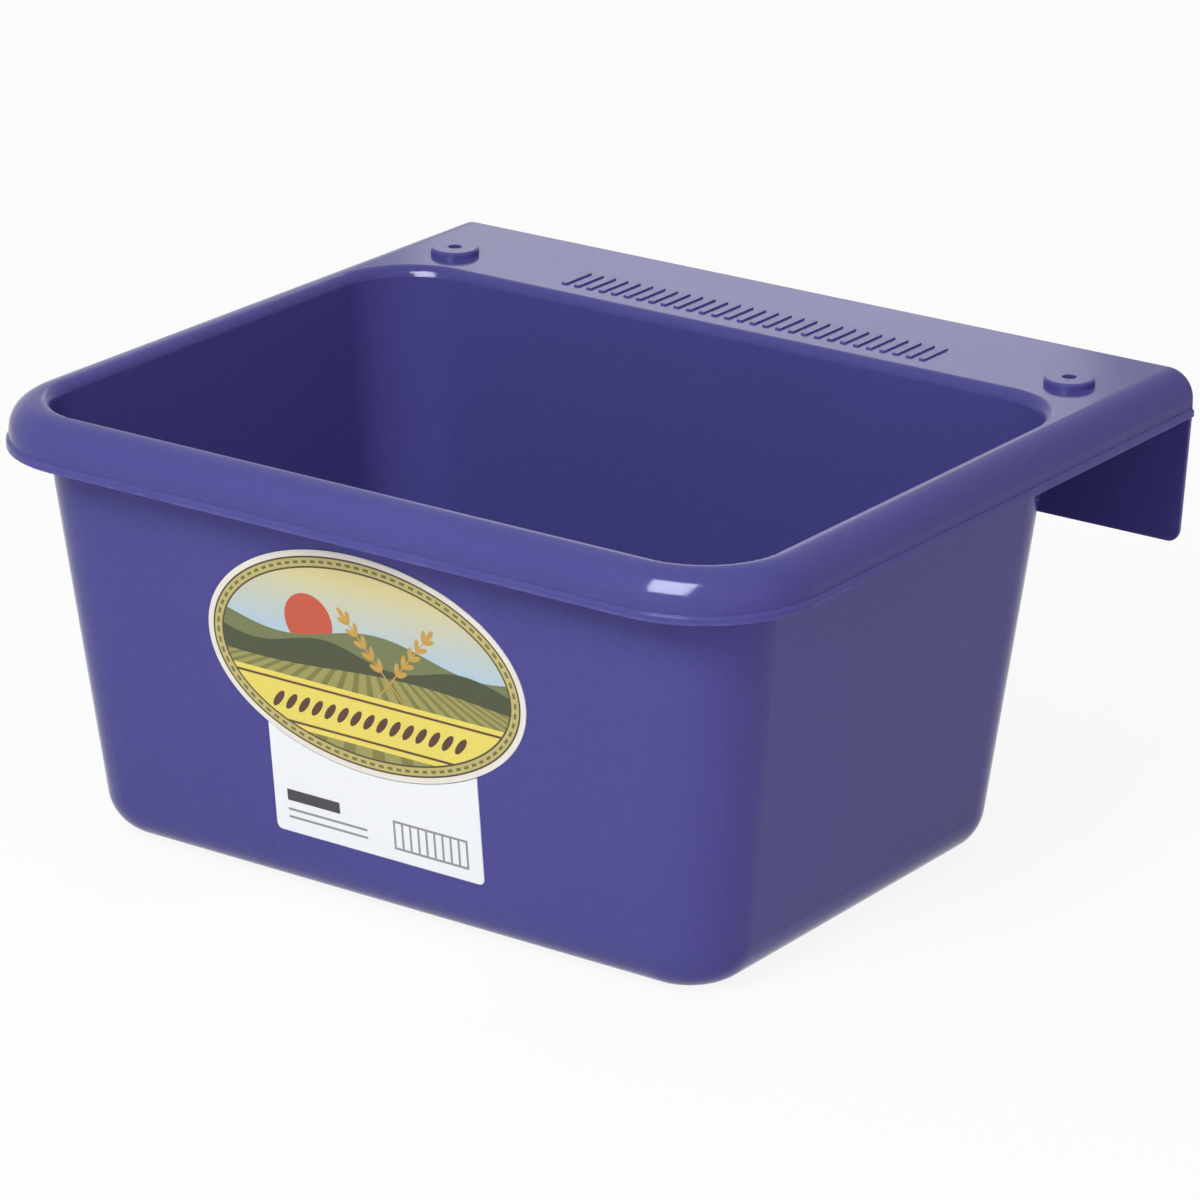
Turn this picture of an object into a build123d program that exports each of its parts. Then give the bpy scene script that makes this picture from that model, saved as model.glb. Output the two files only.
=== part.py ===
from build123d import *
import os
from math import cos, radians, sin, tan

# Hook over feeder, in millimetres. X is the width, the feeder's front faces -Y, the hook
# is at +Y and Z is up. The origin is at the bottom centre of the overall box.

# Tub: the mouth is measured between the inner wall faces at the rim
MOUTH_WIDTH = 260.4
MOUTH_DEPTH = 189.5
MOUTH_CORNER_RADIUS = 24.5
TUB_HEIGHT = 141.5
WALL = 3.0
FLOOR = 3.0
DRAFT_ANGLE = 6.3
BASE_CORNER_RADIUS = 21.5
FOOT_RADIUS = 14.5

# Rolled rim: breadth runs from the inner wall face to the outer face of the hanging skirt
RIM_BREADTH = 12.9
RIM_HEIGHT = 14.3
RIM_OUTER_ROUND = 9.0
RIM_INNER_ROUND = 3.6
SKIRT = 2.6
BEAD_STANDOUT = 0.9
BEAD_HEIGHT = 2.6
BEAD_CHAMFER = 0.7

# Hook: reach runs from the inner face of the rear wall to the rear face of the lip
HOOK_REACH = 52.0
HOOK_PLATE = 3.0
LIP_DROP = 56.5
LIP_THICKNESS = 3.0
LIP_DRAFT_ANGLE = 3.5
LIP_CORNER_RADIUS = 4.0
HOOK_EDGE_RADIUS = 2.2

# Screw bosses on top of the hook
SCREW_SPACING = 236.0
SCREW_SETBACK = 17.0
SCREW_HOLE_DIAMETER = 4.5
BOSS_DIAMETER = 16.0
BOSS_HEIGHT = 2.2
BOSS_CHAMFER = 0.6

# Low moulded ribs in a row on top of the hook
RIB_COUNT = 29
RIB_PITCH = 4.9
RIB_LENGTH = 14.0
RIB_WIDTH = 2.0
RIB_HEIGHT = 0.5

# Stickers on the front wall, placed by their height up its slope
LABEL_THICKNESS = 0.3
PICTURE_WIDTH = 118.0
PICTURE_HEIGHT = 72.0
PICTURE_CENTRE_UP = 84.0
PANEL_WIDTH = 78.0
PANEL_BOTTOM_UP = 20.8
PANEL_CORNER_RADIUS = 2.0
LABEL_GAP = 0.3

# Places worked out from the sizes
outer_width = MOUTH_WIDTH + 2 * RIM_BREADTH
overall_depth = BEAD_STANDOUT + RIM_BREADTH + MOUTH_DEPTH + HOOK_REACH
skirt_front = BEAD_STANDOUT - overall_depth / 2
mouth_front = skirt_front + RIM_BREADTH
mouth_rear = mouth_front + MOUTH_DEPTH
hook_rear = mouth_rear + HOOK_REACH
skirt_bottom = TUB_HEIGHT - RIM_HEIGHT
rim_corner_radius = MOUTH_CORNER_RADIUS + RIM_BREADTH
draft_slope = tan(radians(DRAFT_ANGLE))


def rounded_outline(half_width, y_front, y_rear, front_radius, rear_radius=0):
    """Plan outline, symmetric in X, with its own radius at the front and at the rear corners."""
    middle = (y_front + y_rear) / 2
    outline = Pos(0, middle) * Rectangle(2 * half_width, y_rear - y_front)
    outline = fillet(outline.vertices().filter_by(lambda v: v.Y < middle), front_radius)
    if rear_radius > 0:
        outline = fillet(outline.vertices().filter_by(lambda v: v.Y > middle), rear_radius)
    return outline


def tub_outline(height, inset):
    """The tub's plan section at a height: outer faces, or inner ones when inset by the wall."""
    drawn_in = (TUB_HEIGHT - height) * draft_slope + inset
    half_width = MOUTH_WIDTH / 2 + WALL - drawn_in
    top_radius = MOUTH_CORNER_RADIUS + WALL
    share = height / TUB_HEIGHT
    radius = BASE_CORNER_RADIUS + (top_radius - BASE_CORNER_RADIUS) * share - inset
    front = mouth_front - WALL + drawn_in
    rear = mouth_rear + WALL - drawn_in
    return Pos(0, 0, height) * rounded_outline(half_width, front, rear, radius, radius)


def tapered_block(bottom, inset, edge_radius):
    """Tapered block from a height up to the rim, with a rounded edge round its bottom."""
    block = loft([tub_outline(bottom, inset), tub_outline(TUB_HEIGHT, inset)], ruled=True)
    # The flat walls become true planes, so that their edges round into plain cylinders
    walls = [Face(face.outer_wire()) if face.is_planar else face for face in block.faces()]
    block = Solid(Shell(walls))
    return fillet(block.faces().sort_by(Axis.Z)[0].edges(), edge_radius)


def band(inset, bottom, top, rear_face):
    """Slab of the rim's plan: inset from the skirt's outer face, from one height to another."""
    half_width = outer_width / 2 - inset
    corner_radius = rim_corner_radius - inset
    outline = rounded_outline(half_width, skirt_front + inset, rear_face, corner_radius)
    return Pos(0, 0, bottom) * extrude(outline, amount=top - bottom)


def outer_top_edges(block):
    """The top edges of a slab along its front and its two sides, not its rear."""
    top_edges = block.faces().sort_by(Axis.Z)[-1].edges()
    rear_edge = top_edges.sort_by(Axis.Y)[-1]
    return [edge for edge in top_edges if edge != rear_edge]


def lip_plate():
    """The lip that drops down behind the rail, a little narrower at its lower end."""
    drop = LIP_DROP - RIM_HEIGHT
    half_top = outer_width / 2
    half_bottom = half_top - drop * tan(radians(LIP_DRAFT_ANGLE))
    corners = [
        (-half_top, skirt_bottom),
        (half_top, skirt_bottom),
        (half_bottom, skirt_bottom - drop),
        (-half_bottom, skirt_bottom - drop),
    ]
    face = make_face(Polyline(*corners, close=True))
    face = fillet(face.vertices().sort_by(Axis.Y)[:2], LIP_CORNER_RADIUS)
    rear_plane = Plane(origin=(0, hook_rear, 0), x_dir=(1, 0, 0), z_dir=(0, -1, 0))
    return extrude(rear_plane * face, amount=LIP_THICKNESS)


def rim_and_hook():
    """Rolled rim, hook plate and lip as one open-bottomed shell, still without the mouth."""
    cap = band(0, skirt_bottom, TUB_HEIGHT, hook_rear)
    shell = fillet(outer_top_edges(cap), RIM_OUTER_ROUND) + lip_plate()
    rear_edges = shell.faces().sort_by(Axis.Y)[-1].edges()
    shell = fillet(rear_edges, HOOK_EDGE_RADIUS)
    hollow_rear = hook_rear - LIP_THICKNESS
    hollow = band(SKIRT, skirt_bottom, TUB_HEIGHT - HOOK_PLATE, hollow_rear)
    hollow = fillet(outer_top_edges(hollow), RIM_OUTER_ROUND - SKIRT)
    bead_rear = hook_rear - HOOK_EDGE_RADIUS
    bead = band(-BEAD_STANDOUT, skirt_bottom, skirt_bottom + BEAD_HEIGHT, bead_rear)
    bead = chamfer(outer_top_edges(bead), BEAD_CHAMFER)
    return shell + bead - hollow


def open_tub(shell):
    """The tapered tub joined to the rim and hook, hollowed out, its mouth edge rounded over."""
    tub = shell + tapered_block(0, 0, FOOT_RADIUS)
    tub -= tapered_block(FLOOR, WALL, FOOT_RADIUS - WALL)
    top_face = tub.faces().filter_by(Plane.XY).sort_by(Axis.Z)[-1]
    return fillet(top_face.inner_wires()[0].edges(), RIM_INNER_ROUND)


def screw_boss():
    """Raised round boss, standing on the hook plate's top, its upper edge bevelled."""
    boss = extrude(Circle(BOSS_DIAMETER / 2), amount=BOSS_HEIGHT)
    return chamfer(boss.edges().sort_by(Axis.Z)[-1], BOSS_CHAMFER)


def feeder_body():
    """The whole moulding: tub, rim, hook, screw bosses with their holes, and low ribs."""
    body = open_tub(rim_and_hook())
    for side in (-1, 1):
        place = Pos(side * SCREW_SPACING / 2, mouth_rear + SCREW_SETBACK, TUB_HEIGHT)
        body += place * screw_boss()
        drill_length = 2 * (HOOK_PLATE + BOSS_HEIGHT)
        body -= place * Cylinder(SCREW_HOLE_DIAMETER / 2, drill_length)
    for index in range(RIB_COUNT):
        across = (index - (RIB_COUNT - 1) / 2) * RIB_PITCH
        rib = extrude(Rectangle(RIB_WIDTH, RIB_LENGTH), amount=RIB_HEIGHT)
        body += Pos(across, mouth_rear + SCREW_SETBACK, TUB_HEIGHT) * rib
    return body


def front_wall_plane():
    """Plane on the front wall's outer face, from its foot up the slope, facing outwards."""
    lean = radians(DRAFT_ANGLE)
    foot = mouth_front - WALL + TUB_HEIGHT * draft_slope
    return Plane(origin=(0, foot, 0), x_dir=(1, 0, 0), z_dir=(0, -cos(lean), -sin(lean)))


def picture_oval(margin):
    """Outline of the oval sticker on the front wall, grown by a margin."""
    oval = Ellipse(PICTURE_WIDTH / 2 + margin, PICTURE_HEIGHT / 2 + margin)
    return Pos(0, PICTURE_CENTRE_UP) * oval


def picture_label():
    """Oval sticker on the front wall."""
    return extrude(front_wall_plane() * picture_oval(0), amount=LABEL_THICKNESS)


def panel_label():
    """Plain rectangular sticker that runs up to the oval's lower edge."""
    rise = PICTURE_CENTRE_UP - PANEL_BOTTOM_UP
    panel = Pos(0, PANEL_BOTTOM_UP + rise / 2) * Rectangle(PANEL_WIDTH, rise)
    panel = fillet(panel.vertices().sort_by(Axis.Y)[:2], PANEL_CORNER_RADIUS)
    panel -= picture_oval(LABEL_GAP)
    return extrude(front_wall_plane() * panel, amount=LABEL_THICKNESS)


NODES = {
    "feeder_body": feeder_body,
    "picture_label": picture_label,
    "panel_label": panel_label,
}

os.makedirs("parts", exist_ok=True)
for name, make in NODES.items():
    export_step(make(), f"parts/{name}.step")
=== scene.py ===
"""Hook over feeder: a moulded polyethylene trough with a rolled rim and a full-width hook.

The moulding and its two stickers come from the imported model, in metres, with the origin at the
bottom centre of the overall box, the front wall facing -Y and the hook at +Y. This script gives
them their materials, prints the raised detail of the picture sticker, and lights and frames them.
"""

import logging
import math
from dataclasses import dataclass, field
from enum import Enum

import bpy
from mathutils import Euler, Matrix, Vector


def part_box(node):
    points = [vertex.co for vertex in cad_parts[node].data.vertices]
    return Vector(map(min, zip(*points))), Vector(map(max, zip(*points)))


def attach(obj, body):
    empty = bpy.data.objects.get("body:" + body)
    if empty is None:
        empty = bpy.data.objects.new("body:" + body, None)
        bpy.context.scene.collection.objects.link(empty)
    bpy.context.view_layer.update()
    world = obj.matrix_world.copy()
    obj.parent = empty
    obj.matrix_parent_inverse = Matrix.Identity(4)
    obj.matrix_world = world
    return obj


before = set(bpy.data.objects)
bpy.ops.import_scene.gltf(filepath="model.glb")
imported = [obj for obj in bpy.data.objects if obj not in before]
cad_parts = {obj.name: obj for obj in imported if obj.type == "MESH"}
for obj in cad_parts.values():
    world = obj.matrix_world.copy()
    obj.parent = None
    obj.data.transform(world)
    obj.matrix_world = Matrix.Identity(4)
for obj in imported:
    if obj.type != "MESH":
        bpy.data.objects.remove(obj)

LOG = logging.getLogger("feeder")
MM = 0.001
FIRST, SECOND, MIXED = 6, 7, 2  # where a Mix node takes its two colours and gives the result
NOISE_LOW, NOISE_HIGH = 0.3, 0.7  # nearly all of a noise's values lie between these
Colour = tuple[float, float, float, float]
Sides = tuple[float, float, float, float]  # left, right, lower and upper
Tree = bpy.types.NodeTree
Socket = bpy.types.NodeSocket


def linear(hex_colour: str) -> Colour:
    """Turn an sRGB hex colour into linear light.

    Args:
        hex_colour: six hex digits, with or without a leading #.

    Returns:
        Red, green, blue and an alpha of 1, for a shader's socket.
    """
    digits = hex_colour.lstrip("#")
    shares = [int(digits[at : at + 2], 16) / 255 for at in (0, 2, 4)]
    red, green, blue = (
        share / 12.92 if share <= 0.04045 else ((share + 0.055) / 1.055) ** 2.4 for share in shares
    )
    return red, green, blue, 1.0


def add_node(tree: Tree, kind: str, inputs: dict | None = None, **settings: object) -> bpy.types.Node:
    """Add a node with its settings, and fill or link its inputs.

    Args:
        tree: the material's, world's or geometry's node tree.
        kind: the node's type name.
        inputs: socket name or number to a value, or to the output socket that feeds it.
        settings: attributes to set on the node, such as its operation.

    Returns:
        The new node.
    """
    node = tree.nodes.new(kind)
    for name, value in settings.items():
        setattr(node, name, value)
    for key, value in (inputs or {}).items():
        if isinstance(value, Socket):
            tree.links.new(value, node.inputs[key])
        else:
            node.inputs[key].default_value = value
    return node


def empty_material(name: str) -> tuple[bpy.types.Material, Tree]:
    """Make a material whose node tree is still empty.

    Args:
        name: the finish's name.

    Returns:
        The material and its node tree.
    """
    material = bpy.data.materials.new(name)
    material.use_nodes = True
    material.node_tree.nodes.clear()
    return material, material.node_tree


class Sticker(Enum):
    """The two printed stickers, by the name of their CAD node."""

    PICTURE = "picture_label"
    PANEL = "panel_label"


@dataclass(frozen=True)
class MouldedPolyethylene:
    """Injection-moulded polyethylene, pigmented through.

    It gives the eye a waxy satin: broad soft highlights, a bright sheen where a face is seen at a
    low angle, a fine grain from the mould's skin, a slow waviness from uneven cooling, and outer
    edges that handling has rubbed a little paler and duller.
    """

    name: str = "moulded_polyethylene"
    body: str = "#4F4C8F"
    body_deep: str = "#494686"
    body_light: str = "#575394"
    rubbed: str = "#6C66A6"
    ior: float = 1.51
    specular: float = 0.10  # the skin's fine pits hide much of what so smooth a plastic would mirror
    roughness: float = 0.13
    roughness_spread: float = 0.04
    grain_mm: float = 0.9  # the real skin is nearer 0.2 mm, drawn coarse enough to show
    grain_depth_mm: float = 0.012
    waviness_mm: float = 46.0
    waviness_depth_mm: float = 0.16
    cloud_mm: float = 85.0
    fleck_mm: float = 2.4
    fleck_noise: tuple[float, float] = (0.45, 0.8)
    fleck_share: float = 0.35
    rub_reach_mm: float = 1.4
    rub_openness: tuple[float, float] = (0.92, 0.6)  # where an edge starts and where it is sharp
    rub_patch_mm: float = 7.0
    rub_patch_noise: tuple[float, float] = (0.38, 0.62)
    rub_least: float = 0.25
    rub_share: float = 0.5
    rub_roughness: float = 0.22

    def rub(self, tree: Tree, spot: Socket) -> Socket:
        """Mask of the outer edges, where handling rubs the skin, in uneven patches.

        Args:
            tree: the material's node tree.
            spot: the object's coordinates.

        Returns:
            A socket that is 0 on open faces and rises on sharp outer edges.
        """
        edges = add_node(
            tree,
            "ShaderNodeAmbientOcclusion",
            {"Distance": self.rub_reach_mm * MM},
            inside=True,
            only_local=True,
            samples=6,
        )
        starts, sharp = self.rub_openness
        near = add_node(
            tree,
            "ShaderNodeMapRange",
            {"Value": edges.outputs["AO"], "From Min": starts, "From Max": sharp},
        )
        patches = add_node(
            tree,
            "ShaderNodeTexNoise",
            {"Vector": spot, "Scale": 1 / (self.rub_patch_mm * MM), "Detail": 3.0},
        )
        low, high = self.rub_patch_noise
        share = add_node(
            tree,
            "ShaderNodeMapRange",
            {
                "Value": patches.outputs["Fac"],
                "From Min": low,
                "From Max": high,
                "To Min": self.rub_least,
            },
        )
        rubbed = add_node(
            tree,
            "ShaderNodeMath",
            {0: near.outputs[0], 1: share.outputs[0]},
            operation="MULTIPLY",
        )
        return rubbed.outputs[0]

    def build(self) -> bpy.types.Material:
        """Build the material's node tree.

        Returns:
            The finished material.
        """
        material, tree = empty_material(self.name)
        spot = add_node(tree, "ShaderNodeTexCoord").outputs["Object"]
        cloud = add_node(
            tree,
            "ShaderNodeTexNoise",
            {"Vector": spot, "Scale": 1 / (self.cloud_mm * MM), "Detail": 3.0},
        )
        deep = add_node(
            tree,
            "ShaderNodeMix",
            {"Factor": cloud.outputs["Fac"], FIRST: linear(self.body_deep), SECOND: linear(self.body)},
            data_type="RGBA",
        )
        fleck = add_node(
            tree,
            "ShaderNodeTexNoise",
            {"Vector": spot, "Scale": 1 / (self.fleck_mm * MM), "Detail": 4.0, "Roughness": 0.6},
        )
        low, high = self.fleck_noise
        fleck_share = add_node(
            tree,
            "ShaderNodeMapRange",
            {
                "Value": fleck.outputs["Fac"],
                "From Min": low,
                "From Max": high,
                "To Max": self.fleck_share,
            },
        )
        colour = add_node(
            tree,
            "ShaderNodeMix",
            {
                "Factor": fleck_share.outputs[0],
                FIRST: deep.outputs[MIXED],
                SECOND: linear(self.body_light),
            },
            data_type="RGBA",
        )
        rub = self.rub(tree, spot)
        rub_tone = add_node(tree, "ShaderNodeMath", {0: rub, 1: self.rub_share}, operation="MULTIPLY")
        worn = add_node(
            tree,
            "ShaderNodeMix",
            {"Factor": rub_tone.outputs[0], FIRST: colour.outputs[MIXED], SECOND: linear(self.rubbed)},
            data_type="RGBA",
        )
        sheen_change = add_node(
            tree,
            "ShaderNodeMapRange",
            {
                "Value": cloud.outputs["Fac"],
                "From Min": NOISE_LOW,
                "From Max": NOISE_HIGH,
                "To Min": self.roughness - self.roughness_spread / 2,
                "To Max": self.roughness + self.roughness_spread / 2,
            },
        )
        dulled = add_node(
            tree,
            "ShaderNodeMath",
            {0: rub, 1: self.rub_roughness, 2: sheen_change.outputs[0]},
            operation="MULTIPLY_ADD",
        )
        waves = add_node(
            tree,
            "ShaderNodeTexNoise",
            {"Vector": spot, "Scale": 1 / (self.waviness_mm * MM), "Detail": 1.0},
        )
        slow_bump = add_node(
            tree,
            "ShaderNodeBump",
            {"Distance": self.waviness_depth_mm * MM, "Height": waves.outputs["Fac"]},
        )
        grain = add_node(
            tree,
            "ShaderNodeTexNoise",
            {"Vector": spot, "Scale": 1 / (self.grain_mm * MM), "Detail": 2.0},
        )
        skin_bump = add_node(
            tree,
            "ShaderNodeBump",
            {
                "Distance": self.grain_depth_mm * MM,
                "Height": grain.outputs["Fac"],
                "Normal": slow_bump.outputs["Normal"],
            },
        )
        shader = add_node(
            tree,
            "ShaderNodeBsdfPrincipled",
            {
                "Base Color": worn.outputs[MIXED],
                "Roughness": dulled.outputs[0],
                "IOR": self.ior,
                "Specular IOR Level": self.specular,
                "Normal": skin_bump.outputs["Normal"],
            },
        )
        add_node(tree, "ShaderNodeOutputMaterial", {"Surface": shader.outputs[0]})
        return material


@dataclass(frozen=True)
class LabelPlane:
    """The plane of a sticker's outer face: u runs across it and v up the front wall's slope."""

    centre: Vector
    lean_degrees: float = 6.3

    @property
    def turn(self) -> tuple[float, float, float]:
        """The plane's turn as Euler angles, from lying flat and facing up."""
        return math.radians(90 + self.lean_degrees), 0.0, 0.0

    @property
    def matrix(self) -> Matrix:
        """The matrix that carries u, v and height off the sticker into the object's frame."""
        return Matrix.Translation(self.centre) @ Euler(self.turn).to_matrix().to_4x4()

    @classmethod
    def of(cls, sticker: Sticker, thickness: float) -> "LabelPlane":
        """Find a sticker's outer face from its place in the frame.

        Args:
            sticker: which sticker.
            thickness: the sticker's thickness, in metres.

        Returns:
            The plane, centred on the sticker.
        """
        low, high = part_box(sticker.value)
        flat = cls((low + high) / 2)
        return cls(flat.centre + flat.matrix.to_3x3() @ Vector((0, 0, thickness / 2)))


@dataclass(frozen=True)
class PrintedFilm:
    """Printed film sticker, gloss laminated: even flat inks under a thin clear skin."""

    name: str
    thickness_mm: float = 0.3
    ior: float = 1.49
    roughness: float = 0.34
    tooth_mm: float = 0.5  # the film's tooth is finer, drawn coarse enough to show
    tooth_depth_mm: float = 0.006
    ink_change: float = 0.08

    def place(self, tree: Tree, plane: LabelPlane) -> Socket:
        """Lay millimetre coordinates on the sticker.

        Args:
            tree: the material's node tree.
            plane: the sticker's plane.

        Returns:
            A vector socket: u across, v up, both in millimetres from the sticker's centre.
        """
        spot = add_node(tree, "ShaderNodeTexCoord").outputs["Object"]
        laid = add_node(
            tree,
            "ShaderNodeMapping",
            {"Vector": spot, "Location": plane.centre, "Rotation": plane.turn, "Scale": (MM, MM, MM)},
            vector_type="TEXTURE",
        )
        flat = add_node(
            tree,
            "ShaderNodeVectorMath",
            {0: laid.outputs[0], 1: (1.0, 1.0, 0.0)},
            operation="MULTIPLY",
        )
        return flat.outputs[0]

    def finish(self, tree: Tree, spot: Socket, ink: Socket) -> None:
        """Put the printed colours under the film's skin.

        Args:
            tree: the material's node tree.
            spot: the sticker's millimetre coordinates.
            ink: the colour that is printed.
        """
        tooth = add_node(
            tree,
            "ShaderNodeTexNoise",
            {"Vector": spot, "Scale": 1 / self.tooth_mm, "Detail": 3.0},
        )
        strength = add_node(
            tree,
            "ShaderNodeMapRange",
            {
                "Value": tooth.outputs["Fac"],
                "From Min": NOISE_LOW,
                "From Max": NOISE_HIGH,
                "To Min": 1 - self.ink_change,
            },
        )
        printed = add_node(
            tree,
            "ShaderNodeVectorMath",
            {0: ink, "Scale": strength.outputs[0]},
            operation="SCALE",
        )
        bump = add_node(
            tree,
            "ShaderNodeBump",
            {"Distance": self.tooth_depth_mm * MM, "Height": tooth.outputs["Fac"]},
        )
        shader = add_node(
            tree,
            "ShaderNodeBsdfPrincipled",
            {
                "Base Color": printed.outputs[0],
                "Roughness": self.roughness,
                "IOR": self.ior,
                "Normal": bump.outputs["Normal"],
            },
        )
        add_node(tree, "ShaderNodeOutputMaterial", {"Surface": shader.outputs[0]})


@dataclass(frozen=True)
class Skyline:
    """A rolling skyline on the oval sticker, in millimetres from its centre.

    The base is its mean height, the swell how far it rises and falls, and the length runs from one
    crest to the next. The phase, in radians, says where the crests stand.
    """

    base: float
    swell: float
    length: float
    phase: float


@dataclass(frozen=True)
class PictureFilm(PrintedFilm):
    """The oval sticker's print: fields under a low sun, with a plain yellow band across them.

    The sizes are in millimetres on the sticker, measured from its centre.
    """

    name: str = "printed_film_picture"
    half_width: float = 59.0
    half_height: float = 36.0
    border: float = 1.9  # bare paper outside the ring
    ring: float = 5.2  # from the sticker's edge to the ring's inner edge
    line_width: float = 0.6
    sky_top: float = 28.0
    sky_foot: float = 2.0
    sun_centre: tuple[float, float, float] = (-20.0, 10.5, 0.0)
    sun_radius: float = 9.0
    far_hills: Skyline = Skyline(8.0, 3.2, 74.0, 1.1)
    middle_hills: Skyline = Skyline(3.0, 2.4, 52.0, 3.4)
    near_field: Skyline = Skyline(-3.5, 1.8, 118.0, 0.6)
    furrows_meet_at: float = 13.0
    furrow_rate: float = 24.0  # how closely the furrows fan out
    furrow_edge: float = 0.25  # a higher value draws them narrower
    band_low: float = -27.0
    band_high: float = -9.5
    rule_inset: float = 2.1
    rule_width: float = 0.8
    paper: str = "#E9E2D5"
    ring_ink: str = "#BFB06A"
    line_ink: str = "#4A3B1E"
    sky_high: str = "#D8C98A"
    sky_low: str = "#A9C6DE"
    sun_ink: str = "#C44E30"
    far_ink: str = "#6E7648"
    middle_ink: str = "#3F4726"
    near_ink: str = "#9A9550"
    furrow_ink: str = "#7C7636"
    band_ink: str = "#E8D45E"
    rule_ink: str = "#5A3A1C"

    def oval(self, tree: Tree, spot: Socket, inset: float) -> Socket:
        """Mask of the oval inside the sticker's edge.

        Args:
            tree: the material's node tree.
            spot: the sticker's millimetre coordinates.
            inset: how far the oval lies inside the edge.

        Returns:
            A socket that is 1 inside the oval and 0 outside.
        """
        scaled = add_node(
            tree,
            "ShaderNodeVectorMath",
            {0: spot, 1: (self.half_width - inset, self.half_height - inset, 1.0)},
            operation="DIVIDE",
        )
        reach = add_node(tree, "ShaderNodeVectorMath", {0: scaled.outputs[0]}, operation="LENGTH")
        inside = add_node(
            tree, "ShaderNodeMath", {0: reach.outputs["Value"], 1: 1.0}, operation="LESS_THAN"
        )
        return inside.outputs[0]

    def hill(self, tree: Tree, across: Socket, up: Socket, skyline: Skyline) -> Socket:
        """Mask of the ground under a rolling skyline.

        Args:
            tree: the material's node tree.
            across: the distance across the sticker.
            up: the distance up the sticker.
            skyline: where the ground ends and the sky begins.

        Returns:
            A socket that is 1 under the skyline and 0 above.
        """
        turn = add_node(
            tree,
            "ShaderNodeMath",
            {0: across, 1: 2 * math.pi / skyline.length, 2: skyline.phase},
            operation="MULTIPLY_ADD",
        )
        wave = add_node(tree, "ShaderNodeMath", {0: turn.outputs[0]}, operation="SINE")
        height = add_node(
            tree,
            "ShaderNodeMath",
            {0: wave.outputs[0], 1: skyline.swell, 2: skyline.base},
            operation="MULTIPLY_ADD",
        )
        under = add_node(
            tree, "ShaderNodeMath", {0: up, 1: height.outputs[0]}, operation="LESS_THAN"
        )
        return under.outputs[0]

    def stripe(self, tree: Tree, up: Socket, low: float, high: float) -> Socket:
        """Mask of a level stripe.

        Args:
            tree: the material's node tree.
            up: the distance up the sticker.
            low: the stripe's lower edge.
            high: its upper edge.

        Returns:
            A socket that is 1 in the stripe and 0 elsewhere.
        """
        inside = add_node(
            tree,
            "ShaderNodeMath",
            {0: up, 1: (low + high) / 2, 2: (high - low) / 2},
            operation="COMPARE",
        )
        return inside.outputs[0]

    def sun(self, tree: Tree, spot: Socket) -> Socket:
        """Mask of the sun's disc.

        Args:
            tree: the material's node tree.
            spot: the sticker's millimetre coordinates.

        Returns:
            A socket that is 1 on the disc and 0 elsewhere.
        """
        reach = add_node(
            tree, "ShaderNodeVectorMath", {0: spot, 1: self.sun_centre}, operation="DISTANCE"
        )
        inside = add_node(
            tree,
            "ShaderNodeMath",
            {0: reach.outputs["Value"], 1: self.sun_radius},
            operation="LESS_THAN",
        )
        return inside.outputs[0]

    def furrows(self, tree: Tree, across: Socket, up: Socket) -> Socket:
        """Mask of the furrows, which run away to a point behind the near field.

        Args:
            tree: the material's node tree.
            across: the distance across the sticker.
            up: the distance up the sticker.

        Returns:
            A socket that is 1 in a furrow and 0 between.
        """
        depth = add_node(
            tree, "ShaderNodeMath", {0: self.furrows_meet_at, 1: up}, operation="SUBTRACT"
        )
        fan = add_node(tree, "ShaderNodeMath", {0: across, 1: depth.outputs[0]}, operation="DIVIDE")
        turn = add_node(
            tree, "ShaderNodeMath", {0: fan.outputs[0], 1: self.furrow_rate}, operation="MULTIPLY"
        )
        wave = add_node(tree, "ShaderNodeMath", {0: turn.outputs[0]}, operation="SINE")
        dark = add_node(
            tree,
            "ShaderNodeMath",
            {0: wave.outputs[0], 1: self.furrow_edge},
            operation="GREATER_THAN",
        )
        return dark.outputs[0]

    def build(self, plane: LabelPlane) -> bpy.types.Material:
        """Build the print, each ink laid over the ones before it.

        Args:
            plane: the sticker's plane.

        Returns:
            The finished material.
        """
        material, tree = empty_material(self.name)
        spot = self.place(tree, plane)
        axes = add_node(tree, "ShaderNodeSeparateXYZ", {0: spot})
        across, up = axes.outputs["X"], axes.outputs["Y"]
        sky_share = add_node(
            tree,
            "ShaderNodeMapRange",
            {"Value": up, "From Min": self.sky_top, "From Max": self.sky_foot},
        )
        sky = add_node(
            tree,
            "ShaderNodeMix",
            {
                "Factor": sky_share.outputs[0],
                FIRST: linear(self.sky_high),
                SECOND: linear(self.sky_low),
            },
            data_type="RGBA",
        )
        near = self.hill(tree, across, up, self.near_field)
        furrow = add_node(
            tree,
            "ShaderNodeMath",
            {0: near, 1: self.furrows(tree, across, up)},
            operation="MULTIPLY",
        )
        scene_inks = [
            (self.sun(tree, spot), linear(self.sun_ink)),
            (self.hill(tree, across, up, self.far_hills), linear(self.far_ink)),
            (self.hill(tree, across, up, self.middle_hills), linear(self.middle_ink)),
            (near, linear(self.near_ink)),
            (furrow.outputs[0], linear(self.furrow_ink)),
            (self.stripe(tree, up, self.band_low, self.band_high), linear(self.band_ink)),
        ]
        half = self.rule_width / 2
        for rule_at in (self.band_low + self.rule_inset, self.band_high - self.rule_inset):
            rule = self.stripe(tree, up, rule_at - half, rule_at + half)
            scene_inks.append((rule, linear(self.rule_ink)))
        colour = sky.outputs[MIXED]
        for mask, ink in scene_inks:
            layer = add_node(
                tree, "ShaderNodeMix", {"Factor": mask, FIRST: colour, SECOND: ink}, data_type="RGBA"
            )
            colour = layer.outputs[MIXED]
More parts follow.
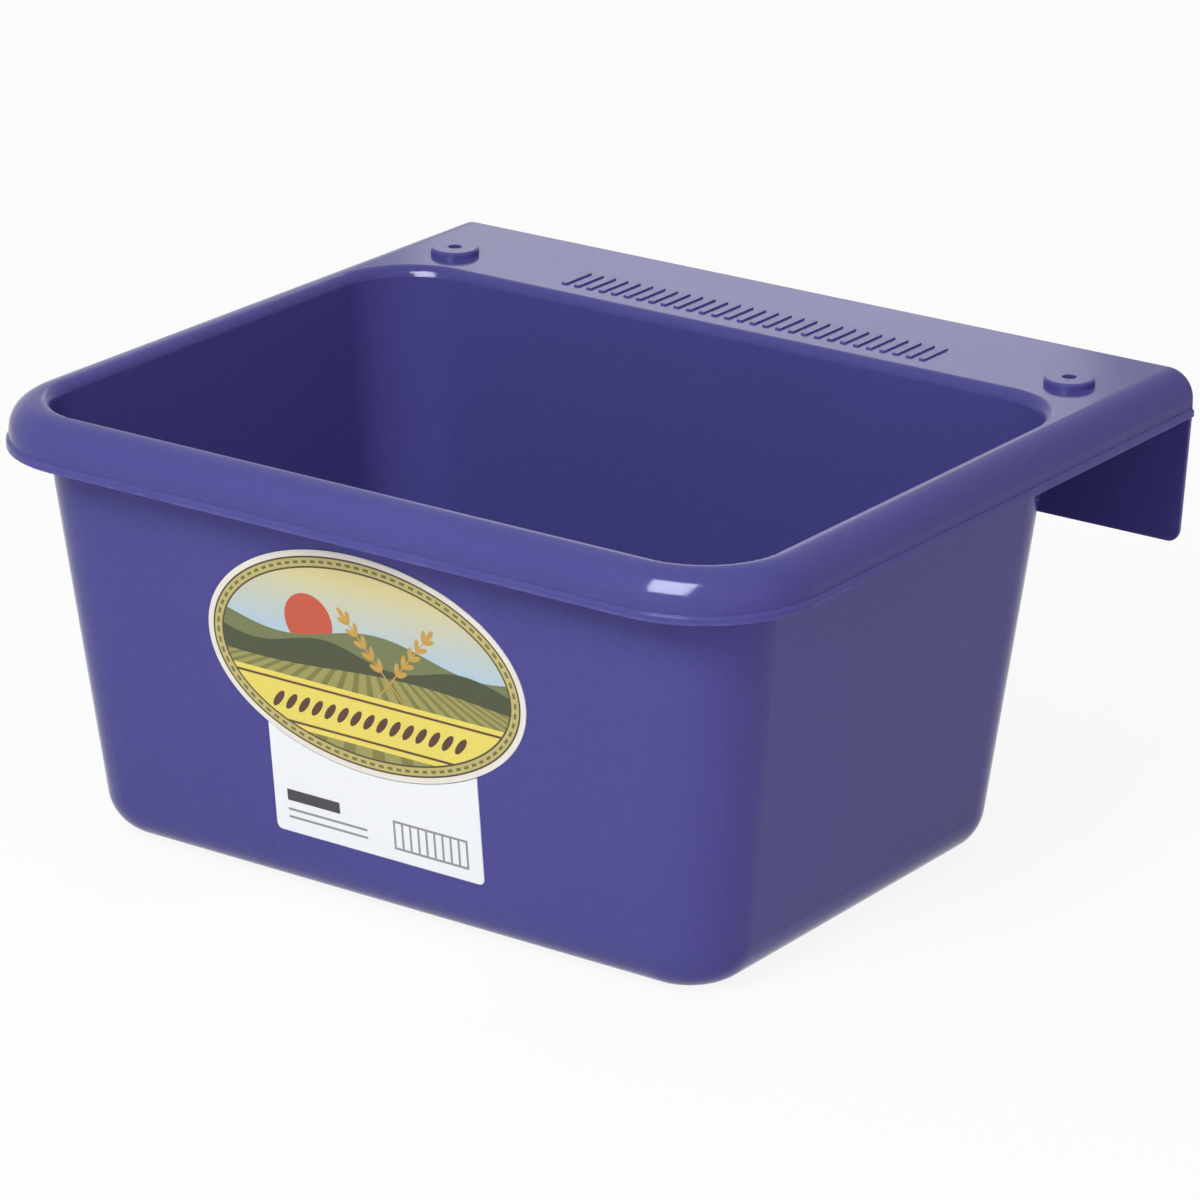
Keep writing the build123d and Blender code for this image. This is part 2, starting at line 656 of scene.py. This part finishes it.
        frame_inks = [
            (self.border, linear(self.line_ink)),
            (self.border + self.line_width, linear(self.ring_ink)),
            (self.ring, linear(self.line_ink)),
            (self.ring + self.line_width, colour),
        ]
        printed = linear(self.paper)
        for inset, ink in frame_inks:
            mask = self.oval(tree, spot, inset)
            layer = add_node(
                tree, "ShaderNodeMix", {"Factor": mask, FIRST: printed, SECOND: ink}, data_type="RGBA"
            )
            printed = layer.outputs[MIXED]
        self.finish(tree, spot, printed)
        return material


@dataclass(frozen=True)
class PanelFilm(PrintedFilm):
    """The plain panel's print: white film with a blank ruled form in grey.

    The sizes are in millimetres on the sticker, measured from its centre.
    """

    name: str = "printed_film_panel"
    paper: str = "#F1F1F2"
    rule_ink: str = "#8E8E93"
    dark_ink: str = "#3A3A40"
    rule_width: float = 0.8
    heading: Sides = (-34.0, -14.0, -7.2, -3.4)
    lines_left: float = -34.0
    lines_right: float = -4.0
    lines_low: tuple[float, ...] = (-10.6, -13.2)
    grid: Sides = (6.0, 33.0, -14.0, -4.2)
    grid_columns: int = 9

    def patch(self, tree: Tree, across: Socket, up: Socket, sides: Sides) -> Socket:
        """Mask of an upright rectangle.

        Args:
            tree: the material's node tree.
            across: the distance across the sticker.
            up: the distance up the sticker.
            sides: its left, right, lower and upper sides.

        Returns:
            A socket that is 1 in the rectangle and 0 elsewhere.
        """
        left, right, low, high = sides
        wide = add_node(
            tree,
            "ShaderNodeMath",
            {0: across, 1: (left + right) / 2, 2: (right - left) / 2},
            operation="COMPARE",
        )
        tall = add_node(
            tree,
            "ShaderNodeMath",
            {0: up, 1: (low + high) / 2, 2: (high - low) / 2},
            operation="COMPARE",
        )
        both = add_node(
            tree,
            "ShaderNodeMath",
            {0: wide.outputs[0], 1: tall.outputs[0]},
            operation="MULTIPLY",
        )
        return both.outputs[0]

    def rules(self) -> list[Sides]:
        """Lay out the form's thin rules: two writing lines, and the grid's frame and uprights.

        Returns:
            Each rule's left, right, lower and upper sides.
        """
        width = self.rule_width
        rules = [(self.lines_left, self.lines_right, low, low + width) for low in self.lines_low]
        left, right, low, high = self.grid
        rules += [(left, right, high - width, high), (left, right, low, low + width)]
        step = (right - left) / self.grid_columns
        for column in range(self.grid_columns + 1):
            at = left + column * step
            rules.append((at, at + width, low, high))
        return rules

    def build(self, plane: LabelPlane) -> bpy.types.Material:
        """Build the print.

        Args:
            plane: the sticker's plane.

        Returns:
            The finished material.
        """
        material, tree = empty_material(self.name)
        spot = self.place(tree, plane)
        axes = add_node(tree, "ShaderNodeSeparateXYZ", {0: spot})
        across, up = axes.outputs["X"], axes.outputs["Y"]
        patches = [(self.heading, linear(self.dark_ink))]
        patches += [(sides, linear(self.rule_ink)) for sides in self.rules()]
        printed = linear(self.paper)
        for sides, ink in patches:
            mask = self.patch(tree, across, up, sides)
            layer = add_node(
                tree, "ShaderNodeMix", {"Factor": mask, FIRST: printed, SECOND: ink}, data_type="RGBA"
            )
            printed = layer.outputs[MIXED]
        self.finish(tree, spot, printed)
        return material


@dataclass(frozen=True)
class RaisedInk:
    """Thick screen-printed ink: a flat colour that stands a little proud of the film."""

    name: str
    colour: str
    roughness: float = 0.4
    mottle_mm: float = 0.8
    mottle_depth: float = 0.15

    def build(self) -> bpy.types.Material:
        """Build the material's node tree.

        Returns:
            The finished material.
        """
        material, tree = empty_material(self.name)
        spot = add_node(tree, "ShaderNodeTexCoord").outputs["Object"]
        mottle = add_node(
            tree,
            "ShaderNodeTexNoise",
            {"Vector": spot, "Scale": 1 / (self.mottle_mm * MM), "Detail": 3.0},
        )
        strength = add_node(
            tree,
            "ShaderNodeMapRange",
            {
                "Value": mottle.outputs["Fac"],
                "From Min": NOISE_LOW,
                "From Max": NOISE_HIGH,
                "To Min": 1 - self.mottle_depth,
            },
        )
        printed = add_node(
            tree,
            "ShaderNodeVectorMath",
            {0: linear(self.colour)[:3], "Scale": strength.outputs[0]},
            operation="SCALE",
        )
        shader = add_node(
            tree,
            "ShaderNodeBsdfPrincipled",
            {"Base Color": printed.outputs[0], "Roughness": self.roughness},
        )
        add_node(tree, "ShaderNodeOutputMaterial", {"Surface": shader.outputs[0]})
        return material


class RepeatedPrint:
    """A Geometry Nodes tree with named inputs, turned into one plain mesh on the sticker."""

    def __init__(self, name: str) -> None:
        """Start the tree.

        Args:
            name: the piece's name.
        """
        self.name = name
        self.tree = bpy.data.node_groups.new(name, "GeometryNodeTree")
        self.tree.interface.new_socket("Geometry", in_out="OUTPUT", socket_type="NodeSocketGeometry")
        self.source = self.tree.nodes.new("NodeGroupInput")
        self.values: dict[str, object] = {}

    def size(self, label: str, value: float | int | bpy.types.Material) -> Socket:
        """Add a named input to the tree and remember what it is set to.

        Args:
            label: the input's name.
            value: its value on this piece.

        Returns:
            The socket inside the tree that carries the value.
        """
        kinds = {int: "NodeSocketInt", float: "NodeSocketFloat"}
        kind = kinds.get(type(value), "NodeSocketMaterial")
        item = self.tree.interface.new_socket(label, in_out="INPUT", socket_type=kind)
        self.values[item.identifier] = value
        return self.source.outputs[label]

    def close(self, instances: Socket, ink: bpy.types.Material) -> None:
        """End the tree: real geometry, with its material set.

        Args:
            instances: the geometry made so far.
            ink: the material of the print.
        """
        real = add_node(self.tree, "GeometryNodeRealizeInstances", {"Geometry": instances})
        inked = add_node(
            self.tree,
            "GeometryNodeSetMaterial",
            {"Geometry": real.outputs[0], "Material": self.size("Ink", ink)},
        )
        add_node(self.tree, "NodeGroupOutput", {0: inked.outputs[0]})

    def mesh(self, places: list[Matrix]) -> bpy.types.Object:
        """Run the tree and lay its result down as one plain mesh piece.

        Args:
            places: where each copy goes, as matrices in the object's frame.

        Returns:
            The piece, at the origin, with its place in its mesh.
        """
        host = bpy.data.objects.new(self.name + ".host", bpy.data.meshes.new(self.name + ".host"))
        bpy.context.scene.collection.objects.link(host)
        modifier = host.modifiers.new("Print", "NODES")
        modifier.node_group = self.tree
        for identifier, value in self.values.items():
            modifier[identifier] = value
        bpy.context.view_layer.update()
        evaluated = host.evaluated_get(bpy.context.evaluated_depsgraph_get())
        shape = bpy.data.meshes.new_from_object(evaluated)
        host.modifiers.remove(modifier)
        bpy.data.objects.remove(host)
        pieces = []
        for place in places:
            copy = shape.copy()
            copy.transform(place)
            piece = bpy.data.objects.new(self.name, copy)
            bpy.context.scene.collection.objects.link(piece)
            pieces.append(piece)
        if len(pieces) > 1:
            with bpy.context.temp_override(active_object=pieces[0], selected_editable_objects=pieces):
                bpy.ops.object.join()
        pieces[0].name = self.name
        return pieces[0]


@dataclass
class Moulding:
    """The feeder's body: the CAD node, in its moulded polyethylene."""

    node: str = "feeder_body"
    finish: MouldedPolyethylene = field(default_factory=MouldedPolyethylene)

    def build(self) -> bpy.types.Object:
        """Dress the moulding.

        Returns:
            The CAD object.
        """
        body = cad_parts[self.node]
        body.material_slots[0].material = self.finish.build()
        return body


@dataclass
class PictureSticker:
    """The oval sticker: its print, and its raised dashes, ears of grain and leaf marks."""

    ink_depth: float = 0.05 * MM
    dash_count: int = 84
    dash_length: float = 1.9 * MM
    dash_width: float = 0.9 * MM
    dash_inset: float = 3.8 * MM
    kernel_pairs: int = 5
    kernel_length: float = 4.4 * MM
    kernel_width: float = 1.8 * MM
    ear_length: float = 17.0 * MM
    stem_length: float = 14.0 * MM
    stem_width: float = 0.45 * MM
    kernel_spread_degrees: float = 30.0
    kernel_aside: float = 0.66  # how far a kernel stands from the stem, in kernel widths
    kernel_wobble: float = 0.09  # in radians, either way
    kernel_seed: int = 11
    ear_lean_degrees: float = 40.0
    ear_foot: tuple[float, float] = (5.0 * MM, -9.5 * MM)  # aside from the pair's middle, and up
    ears_aside: float = 9.0 * MM  # the pair's middle, from the sticker's own
    leaf_count: int = 15
    leaf_length: float = 7.2 * MM
    leaf_width: float = 2.5 * MM
    leaf_lean_degrees: float = 38.0
    leaf_half_row: float = 34.0 * MM
    film: PictureFilm = field(default_factory=PictureFilm)

    def dashes(self, plane: LabelPlane) -> bpy.types.Object:
        """Print the dashes that run round inside the border.

        Args:
            plane: the sticker's plane.

        Returns:
            The dashes as one mesh.
        """
        printing = RepeatedPrint("picture_dashes")
        tree = printing.tree
        half_width = printing.size("Half Width", self.film.half_width * MM - self.dash_inset)
        half_height = printing.size("Half Height", self.film.half_height * MM - self.dash_inset)
        count = printing.size("Dash Count", self.dash_count)
        length = printing.size("Dash Length", self.dash_length)
        width = printing.size("Dash Width", self.dash_width)
        depth = printing.size("Ink Depth", self.ink_depth)
        circle = add_node(tree, "GeometryNodeCurvePrimitiveCircle", {"Resolution": 256, "Radius": 1.0})
        reach = add_node(tree, "ShaderNodeCombineXYZ", {"X": half_width, "Y": half_height, "Z": 1.0})
        oval = add_node(
            tree,
            "GeometryNodeTransform",
            {"Geometry": circle.outputs["Curve"], "Scale": reach.outputs[0]},
        )
        spots = add_node(
            tree, "GeometryNodeCurveToPoints", {"Curve": oval.outputs[0], "Count": count}, mode="COUNT"
        )
        along = add_node(
            tree, "FunctionNodeAlignRotationToVector", {"Vector": spots.outputs["Tangent"]}, axis="X"
        )
        sides = add_node(tree, "ShaderNodeCombineXYZ", {"X": length, "Y": width, "Z": depth})
        dash = add_node(tree, "GeometryNodeMeshCube", {"Size": sides.outputs[0]})
        laid = add_node(
            tree,
            "GeometryNodeInstanceOnPoints",
            {
                "Points": spots.outputs["Points"],
                "Instance": dash.outputs["Mesh"],
                "Rotation": along.outputs[0],
            },
        )
        printing.close(laid.outputs[0], RaisedInk("olive_ink", "#6A6A2C").build())
        return printing.mesh([plane.matrix])

    def ears(self, plane: LabelPlane) -> bpy.types.Object:
        """Print two ears of grain: a straight stem each, with kernels in pairs along its upper part.

        Args:
            plane: the sticker's plane.

        Returns:
            Both ears as one mesh.
        """
        printing = RepeatedPrint("grain_ears")
        tree = printing.tree
        pairs = printing.size("Kernel Pairs", self.kernel_pairs)
        kernel_length = printing.size("Kernel Length", self.kernel_length)
        kernel_width = printing.size("Kernel Width", self.kernel_width)
        ear = printing.size("Ear Length", self.ear_length)
        stem = printing.size("Stem Length", self.stem_length)
        stem_width = printing.size("Stem Width", self.stem_width)
        spread = printing.size("Kernel Spread", math.radians(self.kernel_spread_degrees))
        depth = printing.size("Ink Depth", self.ink_depth)
        kernel_size = add_node(
            tree, "ShaderNodeCombineXYZ", {"X": kernel_width, "Y": kernel_length, "Z": depth}
        )
        ball = add_node(tree, "GeometryNodeMeshUVSphere", {"Segments": 10, "Rings": 6, "Radius": 0.5})
        kernel = add_node(
            tree,
            "GeometryNodeTransform",
            {"Geometry": ball.outputs["Mesh"], "Scale": kernel_size.outputs[0]},
        )
        top = add_node(tree, "ShaderNodeMath", {0: stem, 1: ear}, operation="ADD")
        foot_at = add_node(tree, "ShaderNodeCombineXYZ", {"Y": stem})
        head_at = add_node(tree, "ShaderNodeCombineXYZ", {"Y": top.outputs[0]})
        line = add_node(
            tree,
            "GeometryNodeCurvePrimitiveLine",
            {"Start": foot_at.outputs[0], "End": head_at.outputs[0]},
        )
        rows = add_node(
            tree, "GeometryNodeCurveToPoints", {"Curve": line.outputs[0], "Count": pairs}, mode="COUNT"
        )
        parts = []
        for number, side in enumerate((-1.0, 1.0)):
            turned = add_node(tree, "ShaderNodeMath", {0: spread, 1: -side}, operation="MULTIPLY")
            wobble = add_node(
                tree,
                "FunctionNodeRandomValue",
                {2: -self.kernel_wobble, 3: self.kernel_wobble, "Seed": self.kernel_seed + number},
                data_type="FLOAT",
            )
            angle = add_node(
                tree, "ShaderNodeMath", {0: turned.outputs[0], 1: wobble.outputs[1]}, operation="ADD"
            )
            turn = add_node(tree, "ShaderNodeCombineXYZ", {"Z": angle.outputs[0]})
            aside = add_node(
                tree,
                "ShaderNodeMath",
                {0: kernel_width, 1: side * self.kernel_aside},
                operation="MULTIPLY",
            )
            moved = add_node(tree, "ShaderNodeCombineXYZ", {"X": aside.outputs[0]})
            row = add_node(
                tree,
                "GeometryNodeSetPosition",
                {"Geometry": rows.outputs["Points"], "Offset": moved.outputs[0]},
            )
            laid = add_node(
                tree,
                "GeometryNodeInstanceOnPoints",
                {"Points": row.outputs[0], "Instance": kernel.outputs[0], "Rotation": turn.outputs[0]},
            )
            parts.append(laid.outputs[0])
        tip_at = add_node(
            tree,
            "ShaderNodeMath",
            {0: kernel_length, 1: 0.5, 2: top.outputs[0]},
            operation="MULTIPLY_ADD",
        )
        tip_place = add_node(tree, "ShaderNodeCombineXYZ", {"Y": tip_at.outputs[0]})
        tip = add_node(
            tree,
            "GeometryNodeTransform",
            {"Geometry": kernel.outputs[0], "Translation": tip_place.outputs[0]},
        )
        parts.append(tip.outputs[0])
        rod_size = add_node(tree, "ShaderNodeCombineXYZ", {"X": stem_width, "Y": top.outputs[0], "Z": depth})
        rod = add_node(tree, "GeometryNodeMeshCube", {"Size": rod_size.outputs[0]})
        half_up = add_node(tree, "ShaderNodeMath", {0: top.outputs[0], 1: 0.5}, operation="MULTIPLY")
        rod_at = add_node(tree, "ShaderNodeCombineXYZ", {"Y": half_up.outputs[0]})
        stalk = add_node(
            tree,
            "GeometryNodeTransform",
            {"Geometry": rod.outputs["Mesh"], "Translation": rod_at.outputs[0]},
        )
        parts.append(stalk.outputs[0])
        joined = add_node(tree, "GeometryNodeJoinGeometry")
        for part in parts:
            tree.links.new(part, joined.inputs[0])
        printing.close(joined.outputs[0], RaisedInk("grain_ink", "#C79A3A").build())
        out, up = self.ear_foot
        lean = math.radians(self.ear_lean_degrees)
        places = [
            plane.matrix
            @ Matrix.Translation((self.ears_aside + side * out, up, 0))
            @ Matrix.Rotation(side * lean, 4, "Z")
            for side in (-1, 1)
        ]
        return printing.mesh(places)

    def ornament(self, plane: LabelPlane) -> bpy.types.Object:
        """Print the row of leaf marks along the yellow band.

        Args:
            plane: the sticker's plane.

        Returns:
            The marks as one mesh.
        """
        printing = RepeatedPrint("band_ornament")
        tree = printing.tree
        half_row = printing.size("Half Row", self.leaf_half_row)
        count = printing.size("Mark Count", self.leaf_count)
        length = printing.size("Mark Length", self.leaf_length)
        width = printing.size("Mark Width", self.leaf_width)
        lean = printing.size("Mark Lean", -math.radians(self.leaf_lean_degrees))
        depth = printing.size("Ink Depth", self.ink_depth)
        left = add_node(tree, "ShaderNodeMath", {0: half_row, 1: -1.0}, operation="MULTIPLY")
        left_at = add_node(tree, "ShaderNodeCombineXYZ", {"X": left.outputs[0]})
        right_at = add_node(tree, "ShaderNodeCombineXYZ", {"X": half_row})
        line = add_node(
            tree,
            "GeometryNodeCurvePrimitiveLine",
            {"Start": left_at.outputs[0], "End": right_at.outputs[0]},
        )
        spots = add_node(
            tree, "GeometryNodeCurveToPoints", {"Curve": line.outputs[0], "Count": count}, mode="COUNT"
        )
        leaf_size = add_node(tree, "ShaderNodeCombineXYZ", {"X": width, "Y": length, "Z": depth})
        ball = add_node(tree, "GeometryNodeMeshUVSphere", {"Segments": 12, "Rings": 8, "Radius": 0.5})
        leaf = add_node(
            tree,
            "GeometryNodeTransform",
            {"Geometry": ball.outputs["Mesh"], "Scale": leaf_size.outputs[0]},
        )
        turn = add_node(tree, "ShaderNodeCombineXYZ", {"Z": lean})
        laid = add_node(
            tree,
            "GeometryNodeInstanceOnPoints",
            {
                "Points": spots.outputs["Points"],
                "Instance": leaf.outputs[0],
                "Rotation": turn.outputs[0],
            },
        )
        printing.close(laid.outputs[0], RaisedInk("brown_ink", "#4E2A12").build())
        middle = (self.film.band_low + self.film.band_high) / 2 * MM
        return printing.mesh([plane.matrix @ Matrix.Translation((0, middle, 0))])

    def build(self) -> list[bpy.types.Object]:
        """Dress the sticker and print its raised detail.

        Returns:
            The raised pieces, which still have to ride on the body.
        """
        plane = LabelPlane.of(Sticker.PICTURE, self.film.thickness_mm * MM)
        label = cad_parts[Sticker.PICTURE.value]
        label.material_slots[0].material = self.film.build(plane)
        pieces = [self.dashes(plane), self.ears(plane), self.ornament(plane)]
        return pieces


@dataclass
class PanelSticker:
    """The plain white sticker under the oval one."""

    film: PanelFilm = field(default_factory=PanelFilm)

    def build(self) -> bpy.types.Object:
        """Dress the sticker.

        Returns:
            The CAD object.
        """
        plane = LabelPlane.of(Sticker.PANEL, self.film.thickness_mm * MM)
        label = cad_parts[Sticker.PANEL.value]
        label.material_slots[0].material = self.film.build(plane)
        return label


@dataclass(frozen=True)
class PhotoCamera:
    """The camera, where it stood for the photograph."""

    azimuth_degrees: float = 35.20
    elevation_degrees: float = 19.98
    roll_degrees: float = 0.41
    distance: float = 1.81942
    aim: tuple[float, float, float] = (-0.00371, 0.01513, 0.06691)
    sensor_mm: float = 36.0
    lens_mm: float = 173.99
    clip_near: float = 0.05
    clip_far: float = 30.0

    def build(self) -> bpy.types.Object:
        """Create the camera and make it the scene's own.

        Returns:
            The camera object.
        """
        data = bpy.data.cameras.new("photo_camera")
        data.sensor_width = self.sensor_mm
        data.sensor_fit = "HORIZONTAL"
        data.lens = self.lens_mm
        data.clip_start = self.clip_near
        data.clip_end = self.clip_far
        camera = bpy.data.objects.new("photo_camera", data)
        bpy.context.scene.collection.objects.link(camera)
        around = math.radians(self.azimuth_degrees)
        above = math.radians(self.elevation_degrees)
        roll = math.radians(self.roll_degrees)
        back = Vector(
            (math.sin(around) * math.cos(above), -math.cos(around) * math.cos(above), math.sin(above))
        )
        level = Vector((math.cos(around), math.sin(around), 0))
        upright = back.cross(level)
        right = level * math.cos(roll) + upright * math.sin(roll)
        up = upright * math.cos(roll) - level * math.sin(roll)
        turn = Matrix((right, up, back)).transposed().to_4x4()
        camera.matrix_world = Matrix.Translation(Vector(self.aim) + back * self.distance) @ turn
        bpy.context.scene.camera = camera
        return camera


class LampUse(Enum):
    """What a lamp is for: lighting the faces, showing as a reflection, or both."""

    BOTH = "both"
    LIGHT = "light"
    REFLECTION = "reflection"


@dataclass(frozen=True)
class SoftBox:
    """One studio lamp: a rectangle of light that faces the feeder, with its place in metres."""

    name: str
    place: tuple[float, float, float]
    width: float
    height: float
    watts: float
    colour: str = "#FFFFFF"
    use: LampUse = LampUse.BOTH
    aim: tuple[float, float, float] = (0.0, 0.0, 0.1)

    def build(self) -> bpy.types.Object:
        """Create the lamp.

        Returns:
            The lamp object.
        """
        data = bpy.data.lights.new(self.name, "AREA")
        data.shape = "RECTANGLE"
        data.size = self.width
        data.size_y = self.height
        data.energy = self.watts
        data.color = linear(self.colour)[:3]
        lamp = bpy.data.objects.new(self.name, data)
        lamp.visible_camera = False
        lamp.visible_diffuse = self.use is not LampUse.REFLECTION
        lamp.visible_glossy = self.use is not LampUse.LIGHT
        bpy.context.scene.collection.objects.link(lamp)
        towards = Vector(self.aim) - Vector(self.place)
        turn = towards.to_track_quat("-Z", "Y").to_matrix().to_4x4()
        lamp.matrix_world = Matrix.Translation(self.place) @ turn
        return lamp


@dataclass
class Studio:
    """The pale floor, the even light of the room and the lamps."""

    floor_half: float = 6.0
    floor_drop: float = 0.2 * MM
    floor_colour: str = "#F4F4F6"
    floor_glow: float = 0.9
    room_colour: str = "#FBFAFF"
    room_strength: float = 0.34
    lamps: tuple[SoftBox, ...] = (
        SoftBox("key_lamp", (0.12, -0.95, 0.90), 0.34, 0.42, 8.8, "#F8FFFA", LampUse.LIGHT),
        SoftBox("front_lamp", (-0.2, -1.9, 0.40), 1.5, 1.5, 3.8, "#F8FFF8"),
        SoftBox("right_lamp", (1.7, -0.6, 0.5), 1.2, 1.2, 4.2, "#FFC4FA"),
        SoftBox("back_lamp", (-1.0, 1.594, 0.79), 0.44, 0.44, 0.78, "#FAF4FF"),
        SoftBox("left_lamp", (-1.17, 1.09, 1.1), 1.0, 1.0, 5.0, "#F4F2FF", LampUse.LIGHT),
        SoftBox("top_lamp", (0.0, 0.0, 1.9), 1.5, 1.5, 6.0, "#E8ECFF", LampUse.LIGHT),
        SoftBox("glint_lamp", (0.124, -0.98, 0.926), 0.72, 0.95, 130.0, "#F4F6FF", LampUse.REFLECTION),
    )

    def seen_plainly(self, tree: Tree) -> Socket:
        """Tell the rays that look at the background from those that carry light.

        Args:
            tree: the floor's or the world's node tree.

        Returns:
            A socket that is 1 for the camera's rays, for reflections and through clear pieces.
        """
        ray = add_node(tree, "ShaderNodeLightPath")
        first = add_node(
            tree,
            "ShaderNodeMath",
            {0: ray.outputs["Is Camera Ray"], 1: ray.outputs["Is Glossy Ray"]},
            operation="MAXIMUM",
        )
        seen = add_node(
            tree,
            "ShaderNodeMath",
            {0: first.outputs[0], 1: ray.outputs["Is Transmission Ray"]},
            operation="MAXIMUM",
        )
        return seen.outputs[0]

    def floor(self) -> bpy.types.Object:
        """Lay the floor: matt and pale, white to the camera, and it keeps the object's shadow.

        Returns:
            The floor object.
        """
        half = self.floor_half
        mesh = bpy.data.meshes.new("floor")
        corners = [(-half, -half), (half, -half), (half, half), (-half, half)]
        mesh.from_pydata([(x, y, -self.floor_drop) for x, y in corners], [], [(0, 1, 2, 3)])
        floor = bpy.data.objects.new("floor", mesh)
        bpy.context.scene.collection.objects.link(floor)
        material, tree = empty_material("matt_white_floor")
        matt = add_node(tree, "ShaderNodeBsdfDiffuse", {"Color": linear(self.floor_colour)})
        glow = add_node(tree, "ShaderNodeEmission", {"Color": (1.0, 1.0, 1.0, 1.0)})
        share = add_node(
            tree,
            "ShaderNodeMath",
            {0: self.seen_plainly(tree), 1: self.floor_glow},
            operation="MULTIPLY",
        )
        seen = add_node(
            tree, "ShaderNodeMixShader", {0: share.outputs[0], 1: matt.outputs[0], 2: glow.outputs[0]}
        )
        add_node(tree, "ShaderNodeOutputMaterial", {"Surface": seen.outputs[0]})
        mesh.materials.append(material)
        return floor

    def room(self) -> bpy.types.World:
        """Light the room evenly; to the camera and in reflections it is plain white.

        Returns:
            The world.
        """
        world = bpy.data.worlds.new("room")
        world.use_nodes = True
        tree = world.node_tree
        tree.nodes.clear()
        even = add_node(
            tree,
            "ShaderNodeBackground",
            {"Color": linear(self.room_colour), "Strength": self.room_strength},
        )
        white = add_node(tree, "ShaderNodeBackground", {"Color": (1.0, 1.0, 1.0, 1.0)})
        both = add_node(
            tree,
            "ShaderNodeMixShader",
            {0: self.seen_plainly(tree), 1: even.outputs[0], 2: white.outputs[0]},
        )
        add_node(tree, "ShaderNodeOutputWorld", {"Surface": both.outputs[0]})
        bpy.context.scene.world = world
        return world

    def build(self) -> None:
        """Set up the floor, the room and the lamps."""
        self.floor()
        self.room()
        for lamp in self.lamps:
            lamp.build()
        bpy.context.scene.view_settings.view_transform = "Standard"


def main() -> None:
    """Build the camera, the feeder and the studio in order, and report each piece."""
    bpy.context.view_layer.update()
    LOG.info("camera: %s", PhotoCamera().build().name)
    LOG.info("moulding: %s", Moulding().build().name)
    LOG.info("panel sticker: %s", PanelSticker().build().name)
    for piece in PictureSticker().build():
        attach(piece, "root")
        LOG.info("print: %s, %d faces", piece.name, len(piece.data.polygons))
    Studio().build()
    LOG.info("studio: floor, room and lamps")


if __name__ == "__main__":
    logging.basicConfig(level=logging.INFO, format="%(message)s")
    main()
